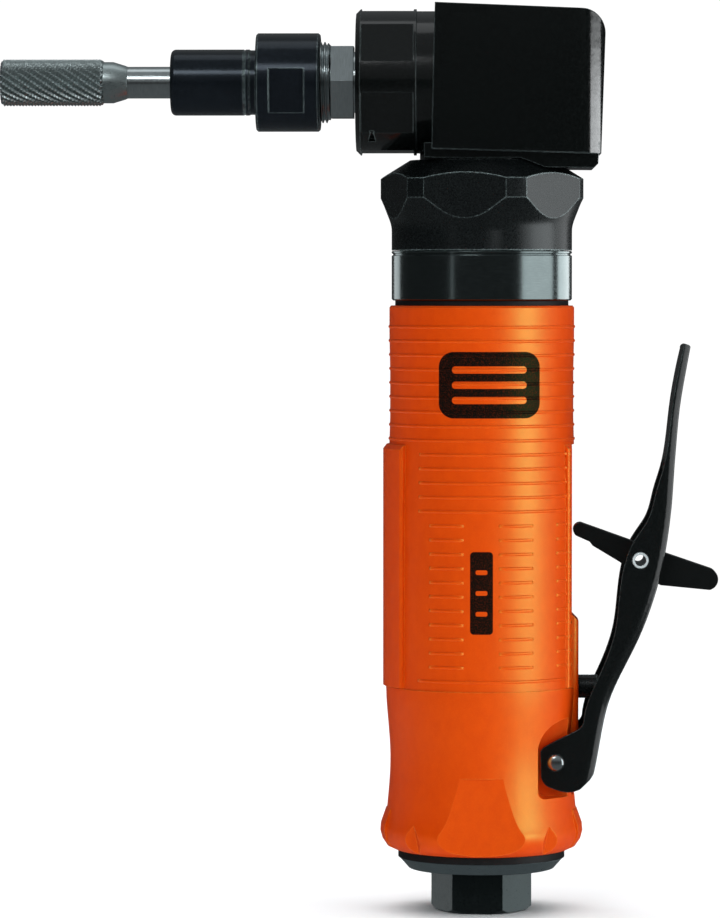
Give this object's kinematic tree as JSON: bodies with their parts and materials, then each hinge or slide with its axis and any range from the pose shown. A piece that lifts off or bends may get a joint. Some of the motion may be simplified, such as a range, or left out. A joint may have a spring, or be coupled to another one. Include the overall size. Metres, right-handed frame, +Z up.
{
  "type": "right-angle die grinder",
  "caption": "Air-powered right-angle die grinder: ribbed composite grip, lock-off throttle lever, vane motor, bevel-gear head, collet and cylindrical burr.",
  "frame": {"origin": "centre of the mouth of the air inlet, at the bottom end of the grip", "axes": "+Z up the grip towards the angle head, -X along the output spindle towards the burr, +X towards the throttle lever"},
  "size_m": [0.1436, 0.0396, 0.1811],
  "materials": {
    "grip_composite": "fine-grained moulded composite",
    "head_black": "gloss black",
    "nut_black": "satin black oxide",
    "collet_black": "black oxide, fine ground",
    "lever_black": "gloss black",
    "lock_black": "matte black",
    "bright_steel": "turned",
    "ground_steel": "ground",
    "carbide": "cut carbide teeth",
    "zinc_metal": "satin",
    "inlet_steel": "dark plated",
    "alloy": "machined",
    "iron": "ground",
    "bronze": "turned",
    "seal_rubber": "moulded",
    "vane_resin": "fibre filled",
    "felt": "porous plastic"
  },
  "bodies": {
    "housing": {"angle_head": "head_black", "bearing_cap": "head_black", "clamp_nut": "nut_black", "cylinder_dowel": "bright_steel", "cylinder_liner": "iron", "dust_shield": "bright_steel", "exhaust_deflector": "zinc_metal", "exhaust_gasket": "seal_rubber", "front_bearing_outer_ring": "ground_steel", "front_end_plate": "iron", "grease_fitting": "bright_steel", "grip_seal_ring": "seal_rubber", "grip_sleeve": "grip_composite", "inlet_bushing": "inlet_steel", "inlet_screen": "bright_steel", "inlet_seal": "seal_rubber", "lever_pivot_pin": "bright_steel", "motor_case": "bright_steel", "motor_gasket": "seal_rubber", "motor_spacer": "alloy", "muffler_element": "felt", "pinion_bearing_outer_ring": "ground_steel", "pinion_retainer": "ground_steel", "plunger_bushing": "bright_steel", "rear_bearing_outer_ring": "ground_steel", "rear_end_plate": "iron", "spindle_front_bearing_outer_ring": "ground_steel", "spindle_rear_bearing_outer_ring": "ground_steel", "valve_body": "alloy", "valve_seat": "bronze", "valve_spring": "bright_steel"},
    "rotor": {"rotor": "ground_steel", "vanes": "vane_resin", "pinion_shaft": "ground_steel", "pinion_locknut": "ground_steel", "rear_bearing_inner_ring": "ground_steel", "front_bearing_inner_ring": "ground_steel", "pinion_bearing_inner_ring": "ground_steel"},
    "motor_ball_sets": {"motor_bearing_balls": "ground_steel", "motor_bearing_cages": "bronze"},
    "spindle": {"spindle": "bright_steel", "output_bevel_gear": "ground_steel", "gear_spacer": "ground_steel", "gear_snap_ring": "bright_steel", "collet": "ground_steel", "collet_nut": "collet_black", "burr_shank": "bright_steel", "burr_head": "carbide", "spindle_front_bearing_inner_ring": "ground_steel", "spindle_rear_bearing_inner_ring": "ground_steel"},
    "spindle_ball_sets": {"spindle_bearing_balls": "ground_steel", "spindle_bearing_cages": "bronze"},
    "throttle_lever": {"throttle_lever": "lever_black", "lock_pin": "bright_steel", "lock_spring": "bright_steel"},
    "lock_lever": {"lock_lever": "lock_black"},
    "plunger": {"plunger": "nut_black", "plunger_oring": "seal_rubber"},
    "tilt_valve": {"tilt_valve": "ground_steel"}
  },
  "joints": [
    {"name": "rotor_spin", "type": "hinge", "parent": "housing", "child": "rotor", "pos_m": [0, 0, 0.083], "axis": [0, 0, 1], "continuous": true},
    {"name": "motor_ball_spin", "type": "hinge", "parent": "housing", "child": "motor_ball_sets", "pos_m": [0, 0, 0.057], "axis": [0, 0, 1], "continuous": true},
    {"name": "spindle_spin", "type": "hinge", "parent": "housing", "child": "spindle", "pos_m": [0, 0, 0.1658], "axis": [1, 0, 0], "continuous": true},
    {"name": "spindle_ball_spin", "type": "hinge", "parent": "housing", "child": "spindle_ball_sets", "pos_m": [0, 0, 0.1658], "axis": [1, 0, 0], "continuous": true},
    {"name": "throttle_press", "type": "hinge", "parent": "housing", "child": "throttle_lever", "pos_m": [0.0148, 0, 0.0302], "axis": [0, -1, 0], "range_deg": [0, 8], "stiffness_Nm_per_rad": 1.2, "springref_deg": -6.88},
    {"name": "plunger_slide", "type": "slide", "parent": "housing", "child": "plunger", "axis": [-1, 0, 0], "range_m": [0, 0.0027]},
    {"name": "valve_tilt", "type": "hinge", "parent": "housing", "child": "tilt_valve", "pos_m": [0.0044, 0, 0.0308], "axis": [0, -1, 0], "range_deg": [0, 12], "deforming": ["valve_spring"]},
    {"name": "lock_swing", "type": "hinge", "parent": "throttle_lever", "child": "lock_lever", "pos_m": [0.0316, 0, 0.0706], "axis": [0, 1, 0], "range_deg": [0, 60], "deforming": ["lock_spring"]}
  ],
  "couplings": [
    {"joint": "spindle_spin", "follows": "rotor_spin", "ratio": -0.78947},
    {"joint": "motor_ball_spin", "follows": "rotor_spin", "ratio": 0.37407},
    {"joint": "spindle_ball_spin", "follows": "rotor_spin", "ratio": -0.3294},
    {"joint": "plunger_slide", "follows": "throttle_press", "m_per_rad": 0.0179},
    {"joint": "valve_tilt", "follows": "throttle_press", "ratio": 1.3},
    {"joint": "lock_swing", "follows": "throttle_press", "ratio": 7.5}
  ]
}
